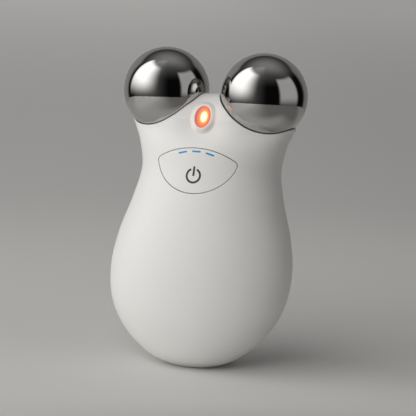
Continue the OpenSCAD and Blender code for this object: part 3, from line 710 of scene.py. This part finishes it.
def makeShell():
    s = bodySizes
    t = np.linspace(s["footFrom"], lastStation - 1e-4, lastStation * s["rowsPerStation"])
    angle = 2 * np.pi * np.arange(s["columns"]) / s["columns"]
    whole = Skin()
    whole.addRows(*bodySheet(t[:, None], angle[None, :]))
    sheet = whole.points[0], whole.normals[0], whole.tris[0]

    skin = Skin()
    for side, centre in ballCentres.items():
        settle = lambda p: centre + socketRadius * unit(p - centre)
        sheet, walls = cutOpening(skin, sheet, "socket", socketWall(centre),
                                  ballSizes["lipRound"], settle)
        for foot, _ in walls:
            addBowl(skin, foot, centre, side)
    for name, hole, radius, into, depth in (
            ("groove", buttonHole, buttonSizes["grooveRound"], -buttonPlace.w,
             buttonSizes["grooveDepth"]),
            ("seam", coverHole, coverSizes["edgeRound"], inward, coverSizes["seamDepth"]),
            ("port", portHole, portSizes["edgeRound"], inward, portSizes["wall"])):
        sheet, walls = cutOpening(skin, sheet, name, hole, radius)
        for foot, facing in walls:
            skin.addRows([foot + into * d for d in np.linspace(0, depth, 4)], [facing] * 4)
    points, normals, tris, _ = cutSheet(*sheet, lensHole)
    skin.add(points, normals, tris)
    addFoot(skin, angle)
    addLip(skin)
    skin.build("frontShell", shellPlastic, "body", "front_shell", slot="shell")


def addFoot(skin, angle):
    # the rounded edge into the flat base, and the base
    s = bodySizes
    outer, outerNormals = bodySheet(np.full(len(angle), s["footFrom"]), angle)
    corner = bodySheet(np.full(len(angle), 1e-6), angle)[0]
    corner[:, 2] = 0
    inner = corner * (1 - 2 * s["footRound"] / s["baseWidth"])
    down = np.array([0, 0, -1.0])
    steps = np.linspace(0, 1, 6)
    rows = [bend(outer, corner, inner, k) for k in steps]
    normals = [unit(outerNormals * (1 - k) + down * k) for k in steps]
    rows += [inner * k for k in (0.75, 0.5, 0.25, 0.001)]
    normals += [np.tile(down, (len(angle), 1))] * 4
    skin.addRows(rows, normals)


def addBowl(skin, foot, centre, side):
    # the inside of a socket, from its lip down to the stud's hole
    lean = math.radians(side * ballSizes["lean"])
    pole = -np.array([math.sin(lean), 0, math.cos(lean)])
    start = unit(foot - centre)
    angle = np.arccos(np.clip(start @ pole, -1, 1))
    stop = math.asin(ballSizes["bowlHole"] / socketRadius)
    sideways = unit(start - (start @ pole)[:, None] * pole)
    rows = []
    for k in np.linspace(0, 1, 26) ** 1.4:
        a = (angle + (stop - angle) * k)[:, None]
        rows.append(np.cos(a) * pole + np.sin(a) * sideways)
    rows = np.array(rows)
    skin.addRows(centre + socketRadius * rows, -rows)


def ovalRow(grow, height):
    # a row round the light, square to its oval
    a = np.linspace(0, 2 * np.pi, 120, endpoint=False)
    half = np.array([lightSizes["lensWidth"] / 2, lightSizes["lensHeight"] / 2])
    rim = np.stack([np.cos(a), np.sin(a)], -1)
    uv = rim * half + unit(rim / half) * grow
    return lightPlace.point(uv, np.broadcast_to(height, (len(uv),))), uv


def addLip(skin):
    # raised lip round the lens, with a narrow round top and a flank that runs out into the body
    s = lightSizes
    inside, top, rise = s["lipInside"], s["lipTop"], s["lipRise"]
    rows = [ovalRow(inside, h)[0] for h in (-2.2, -1.0, 0.1)]
    for a in np.radians(np.linspace(0, 90, 7)):
        rows.append(ovalRow(top - (top - inside) * math.cos(a),
                            rise - s["lipRound"] * (1 - math.sin(a)))[0])
    for k in np.linspace(0, 1, 22)[1:]:
        uv = ovalRow(top + s["blend"] * k, 0.0)[1]
        ground = lightPlace.local(lightPlace.onBody(uv)[0])[:, 2]
        share = (1 - k) ** 2 * (1 + 1.1 * k) * (1 + 0.25 * math.sin(math.pi * k))
        rows.append(lightPlace.point(uv, ground + (rise - ground) * share - 0.012 * k))
    rows = np.array(rows)
    skin.addRows(rows, -rowNormals(rows))


overlap = 0.06              # how far the lip's flank reaches past the hole in the sheet
lensHole = outsideOf(ovalOutline(lightSizes["lipTop"] + lightSizes["blend"] - overlap),
                     lambda p: lightPlace.local(p)[:, :2],
                     lambda p: lightPlace.local(p)[:, 2] > -6)

print("making the shell")
makeShell()


def addCap(skin, onFace, middle, outlines, shares, into, edgeRound, depths):
    # a face from its middle outwards, its rounded edge, and its wall going in
    inner, outer = outlines
    rows, normals = [], []
    for k in shares:
        p, n = onFace(middle + (inner - middle) * k)
        rows.append(p)
        normals.append(n)
    start, faceNormals, corner = rows[-1], normals[-1], onFace(outer)[0]
    foot = corner + into * edgeRound
    outward = corner - start
    outward = unit(outward - dot(outward, into) * into)
    for k in np.linspace(0, 1, 6)[1:]:
        rows.append(bend(start, corner, foot, k))
        normals.append(unit(faceNormals * (1 - k) + outward * k))
    for depth in depths:
        rows.append(foot + into * depth)
        normals.append(outward)
    skin.addRows(rows, normals)


def makeCover():
    s = coverSizes

    def onBack(outline):
        away = np.full(len(outline), float(wellOutside))
        return dropOnBody(np.stack([outline[:, 0], away, outline[:, 1]], -1), inward, wellOutside)

    skin = Skin()
    addCap(skin, onBack, np.array([0, (s["bottom"] + s["top"]) / 2]),
           (coverOutline(-s["edgeRound"]), coverOutline(0)), np.linspace(0.002, 1, 44) ** 0.8,
           inward, s["edgeRound"], (0.6, 1.3, s["seamDepth"]))
    skin.build("rearCover", shellPlastic, "body", "rear_cover", slot="shell")


print("making the rear cover")
makeCover()


symbolSizes = {
    "diameter": 5.1, "line": 0.66, "opening": 32, "barBottom": 0.15, "barTop": 2.7, "lift": 0.03,
}
barSizes = {"length": 2.9, "thickness": 0.55, "rowRadius": 19, "rise": 7.78, "angle": 14,
            "lift": 0.03}


def makeButton():
    s = buttonSizes
    skin = Skin()
    addCap(skin, buttonPlace.onBody, np.array([0, s["middle"]]),
           (buttonOutline(-s["edgeRound"]), buttonOutline(0)), np.linspace(0.002, 1, 30),
           -buttonPlace.w, s["edgeRound"], (0.8, 1.8, 2.8))
    skin.build("powerButton", shellPlastic, "button", "power_button", slot="shell")


def ribbon(path, width, lift):
    # a flat stroke with round ends, laid on the button's curved face
    path = np.asarray(path, float)
    along = unit(np.gradient(path, axis=0))
    half = np.full(len(path), width / 2)
    caps = np.radians([85, 70, 55, 40, 25, 10])
    before = path[0] - along[0] * (np.sin(caps) * width / 2)[:, None]
    after = path[-1] + along[-1] * (np.sin(caps[::-1]) * width / 2)[:, None]
    path = np.concatenate([before, path, after])
    half = np.concatenate([np.cos(caps) * width / 2, half, np.cos(caps[::-1]) * width / 2])
    along = np.concatenate([[along[0]] * 6, along, [along[-1]] * 6])
    across = np.stack([-along[:, 1], along[:, 0]], -1)
    rows, normals = [], []
    for k in np.linspace(-1, 1, 7):
        p, n = buttonPlace.onBody(path + across * (half * k)[:, None])
        rows.append(p + n * lift)
        normals.append(n)
    return rows, normals


def makeIcon():
    s = symbolSizes
    radius = (s["diameter"] - s["line"]) / 2
    a = np.radians(np.linspace(s["opening"], 360 - s["opening"], 90))
    skin = Skin()
    for path in (np.stack([radius * np.sin(a), radius * np.cos(a)], -1),
                 np.stack([np.zeros(14), np.linspace(s["barBottom"], s["barTop"], 14)], -1)):
        skin.addRows(*ribbon(path, s["line"], s["lift"]), closed=False)
    skin.build("powerIcon", iconInk, "button", "power_symbol", slot="symbol")


def makeBars():
    s = barSizes
    for name, k in (("left", -1), ("middle", 0), ("right", 1)):
        a = math.radians(k * s["angle"])
        centre = np.array([s["rowRadius"] * math.sin(a),
                           s["rise"] - s["rowRadius"] + s["rowRadius"] * math.cos(a)])
        along = np.array([math.cos(a), -math.sin(a)])
        reach = (s["length"] - s["thickness"]) / 2
        path = centre + along * np.linspace(-reach, reach, 16)[:, None]
        skin = Skin()
        skin.addRows(*ribbon(path, s["thickness"], s["lift"]), closed=False)
        skin.build(name + "Bar", barGlow, "button", "indicator_bars", slot="indicator")


print("making the button")
makeButton()
makeIcon()
makeBars()


def makeLens():
    s = lightSizes
    reach, low, edge = s["lensReach"], s["lensRim"], s["lensEdge"]
    rows = [ovalRow(reach, h)[0] for h in (-2.4, -1.0, low)]
    for a in np.radians(np.linspace(15, 90, 6)):
        rows.append(ovalRow(reach - edge * (1 - math.cos(a)), low + edge * math.sin(a))[0])
    _, rim = ovalRow(reach - edge, 0.0)
    for k in np.linspace(1, 0.002, 22)[1:]:
        height = low + edge + (s["lensCrown"] - low - edge) * (1 - k * k)
        rows.append(lightPlace.point(rim * k, np.full(len(rim), height)))
    rows = np.array(rows)
    skin = Skin()
    skin.addRows(rows, rowNormals(rows))
    skin.build("lightLens", lensGlow, "body", "light_lens", slot="lens")


print("making the light")
makeLens()


def makeBall(side, name):
    lean = math.radians(side * ballSizes["lean"])
    up = np.array([math.sin(lean), 0, math.cos(lean)])
    first = np.array([math.cos(lean), 0, -math.sin(lean)])
    second = np.cross(up, first)
    hole = math.asin(ballSizes["studHole"] / ballRadius)
    lat = np.linspace(math.pi - hole, 1e-3, 110)[:, None, None]
    lon = np.linspace(0, 2 * np.pi, 180, endpoint=False)[None, :, None]
    rows = np.sin(lat) * (np.cos(lon) * first + np.sin(lon) * second) + np.cos(lat) * up
    skin = Skin()
    skin.addRows(ballCentres[side] + ballRadius * rows, rows)
    skin.build(name + "Ball", chrome, "body", "ball_" + name, slot="chrome")


print("making the balls")
makeBall(-1, "left")
makeBall(1, "right")


viewSizes = {
    "azimuth": 19.34, "elevation": 9.5, "roll": 2.13, "distance": 600, "lens": 160.4,
    "aim": (0, 9, 87), "right": -2.33, "up": -37.18,      # the shift is along the picture's axes
}


def turnedTo(axes, spot):
    # a camera or a lamp looks against its third axis
    right, up, back = axes
    return Matrix([[right[i], up[i], back[i], spot[i]] for i in range(3)] + [[0, 0, 0, 1]])


def addToScene(name, data):
    made = bpy.data.objects.new(name, data)
    bpy.context.scene.collection.objects.link(made)
    return made


def levelAxes():
    # level directions to the picture's right, and from the object to the viewer
    a = math.radians(viewSizes["azimuth"])
    return np.array([math.cos(a), math.sin(a), 0]), np.array([math.sin(a), -math.cos(a), 0])


def makeCamera():
    s = viewSizes
    side, front = levelAxes()
    e, r = math.radians(s["elevation"]), math.radians(s["roll"])
    upright = np.array([0, 0, 1.0])
    tilted = math.cos(e) * upright - math.sin(e) * front
    back = math.cos(e) * front + math.sin(e) * upright
    right = math.cos(r) * side + math.sin(r) * tilted
    up = math.cos(r) * tilted - math.sin(r) * side
    data = bpy.data.cameras.new("camera")
    data.sensor_width, data.lens = 36, s["lens"]
    data.clip_start, data.clip_end = 0.01, 100
    camera = addToScene("camera", data)
    spot = np.array(s["aim"]) + s["distance"] * back + s["right"] * right + s["up"] * up
    camera.matrix_world = turnedTo((right, up, back), spot * mm)
    bpy.context.scene.camera = camera


floorSizes = {"table": 350, "reach": 7000, "sides": 96, "drop": 0.02}    # drop: below the foot
# shade is painted shade, a darker floor colour to the right of the object and in front of it; lit
# is painted light, a paler floor colour to the left where the lamps shine
floorTones = {
    "near": (0.70, 0.695, 0.68), "cloud": (0.72, 0.715, 0.70), "middle": (0.62, 0.615, 0.605),
    "far": (0.90, 0.895, 0.88), "lit": (0.92, 0.91, 0.89), "shade": (0.17, 0.17, 0.168),
    "paintedShadeDepth": 0.76, "sideShade": 0.26,
}
floorRanges = {
    # metres away from the object
    "middle": (0.15, 0.37), "far": (0.45, 2.3),
    # metres to the right of it, then towards the viewer, where the painted shade and the painted
    # light lie
    "paintedFrontShade": ((-0.10, 0.06), (0.045, 0.10)), "paintedBesideShade": ((0.07, 0.15), (-0.12, -0.02)),
    "sideShade": (-0.1, 0.2), "lit": ((-0.16, -0.07), (-0.1, 0.0)),
}


def floorFinish():
    f, tones, ranges = Finish("paleFloor", roughness=0.7), floorTones, floorRanges
    cloud, grain = f.noise(3.0, 2.0), f.noise(1500, 2.0)
    away = f.node("VectorMath", {"operation": "LENGTH"}, {0: f.place}, "Value")
    right, toward = (f.vector("DOT_PRODUCT", f.place, axis, "Value") for axis in levelAxes())

    def area(name):
        across, along = ranges[name]
        return right.ramp(*across), toward.ramp(*along)

    plain = f.mixed(cloud, tones["near"], tones["cloud"])
    plain = f.mixed(away.ramp(*ranges["middle"]), plain, tones["middle"])
    plain = f.mixed(away.ramp(*ranges["far"]), plain, tones["far"])
    # painted light: a paler patch to the left and in front of the object, where the lamps shine
    across, along = area("lit")
    plain = f.mixed((1 - across) * along, plain, tones["lit"])
    # painted shade: the colour darkens to the right, where the object's shadow falls, and in front
    # of the object
    across, along = area("paintedFrontShade")
    bright = 1 - across * along
    across, along = area("paintedBesideShade")
    bright = bright * (1 - across * along) \
        * (1 - right.ramp(*ranges["sideShade"]) * tones["sideShade"])
    f.set(color=f.mixed((1 - bright) * tones["paintedShadeDepth"], plain, tones["shade"]))
    return f.bump(grain, 0.05, 0.00005)


def makeFloor():
    # a table top round the object, and the same floor beyond it, which the chrome doesn't show
    s, finish = floorSizes, floorFinish()
    count = s["sides"]
    k = np.arange(count)
    turn = 2 * np.pi * k / count
    rim = np.stack([np.cos(turn), np.sin(turn), 0 * turn], -1)
    table, reach = rim * s["table"], rim * s["reach"]
    after = (k + 1) % count
    ring = np.stack([k + count, after + count, after, k], -1)
    for name, points, faces in (("floor", table, [k.tolist()]),
                                ("farFloor", np.concatenate([table, reach]), ring.tolist())):
        mesh = bpy.data.meshes.new(name)
        mesh.from_pydata(((points - [0, 0, s["drop"]]) * mm).tolist(), [], faces)
        mesh.materials.append(finish)
        floor = addToScene(name, mesh)
        floor.visible_glossy = name == "floor"


studioSizes = {
    "softbox": 1.95, "glow": 0.14, "card": 0.50, "back": 0.25, "room": 0.004, "ceiling": 0.31,
    "backdrop": 0.32,
    # degrees to the right of the viewer, and degrees up, where each one fades in and out
    "softboxRound": (-117, -108, -74, -20), "softboxRise": (-14, 26, 56, 68),
    "glowRound": (-108, -80, -60, 8), "glowRise": (-40, 0),
    "cardRound": (36, 46, 91, 101), "cardRise": (-22, 4, 50, 60), "cardLean": 0.15,
    "backRound": (46, 62), "backRise": (30, 42), "ceilingRise": (28, 86),
    # how much darker the back is to the right, and the ceiling over the viewer
    "backDim": 0.3, "ceilingDim": 0.6, "ceilingFront": (-0.1, 0.5),
    "lampSize": 560, "lampDistance": 1100, "lampAim": (0, 5, 50),
    "lamps": {"lowLamp": (2.3, -45, 15), "highLamp": (1.9, -15, 40)},   # watts and direction
}


def makeWorld():
    # a dark room with a big soft box on the left, a grey card on the right and a plain backdrop
    s = studioSizes
    side, front = levelAxes()
    world = bpy.data.worlds.new("studio")
    bpy.context.scene.world = world
    world.use_nodes = True
    g = Graph(world.node_tree)
    direction = g.node("TexCoord", output="Generated")
    toSide, toFront, toTop = (g.vector("DOT_PRODUCT", direction, axis, "Value")
                              for axis in (side, front, np.array([0, 0, 1.0])))
    azimuth = toSide.math("ARCTAN2", toFront) * (180 / math.pi)
    rise = toTop.math("ARCSINE") * (180 / math.pi)
    softbox = azimuth.window(*s["softboxRound"]) * rise.window(*s["softboxRise"])
    glow = azimuth.window(*s["glowRound"]) * rise.ramp(*s["glowRise"])
    low, full, fades, ends = s["cardRise"]
    card = azimuth.window(*s["cardRound"]) * rise.ramp(low, full) \
        * (1 - (rise + azimuth * s["cardLean"]).ramp(fades, ends))
    behind = 1 - (180 - azimuth.math("ABSOLUTE")).ramp(*s["backRound"])
    behind = behind * (1 - rise.ramp(*s["backRise"])) * (1 - toSide * s["backDim"])
    ceiling = rise.ramp(*s["ceilingRise"]) * (1 - softbox) \
        * (1 - toFront.ramp(*s["ceilingFront"]) * s["ceilingDim"])
    level = softbox * s["softbox"] + glow * s["glow"] + card * s["card"] + behind * s["back"] \
        + ceiling * s["ceiling"] + s["room"]
    seen = g.node("LightPath", output="Is Camera Ray")
    level = level * (1 - seen) + seen * s["backdrop"]
    background = g.node("Background", sockets={"Color": (1.0, 0.99, 0.975), "Strength": level})
    g.node("OutputWorld", sockets={"Surface": background})


def makeLamps():
    # square lamps far away, aimed at the object, that the chrome doesn't show
    s = studioSizes
    side, front = levelAxes()
    for name, (power, azimuth, elevation) in s["lamps"].items():
        a, e = math.radians(azimuth), math.radians(elevation)
        toward = math.cos(e) * (math.sin(a) * side + math.cos(a) * front)
        toward[2] = math.sin(e)
        data = bpy.data.lights.new(name, "AREA")
        data.shape, data.size = "SQUARE", s["lampSize"] * mm
        data.energy, data.color = power, (1.0, 0.985, 0.96)
        lamp = addToScene(name, data)
        across = unit(np.cross([0, 0, 1.0], toward))
        spot = np.array(s["lampAim"]) + toward * s["lampDistance"]
        lamp.matrix_world = turnedTo((across, np.cross(toward, across), toward), spot * mm)
        lamp.visible_glossy = False


print("setting the studio")
makeFloor()
makeCamera()
makeWorld()
makeLamps()
bpy.context.scene.view_settings.view_transform = "Standard"

print("done")
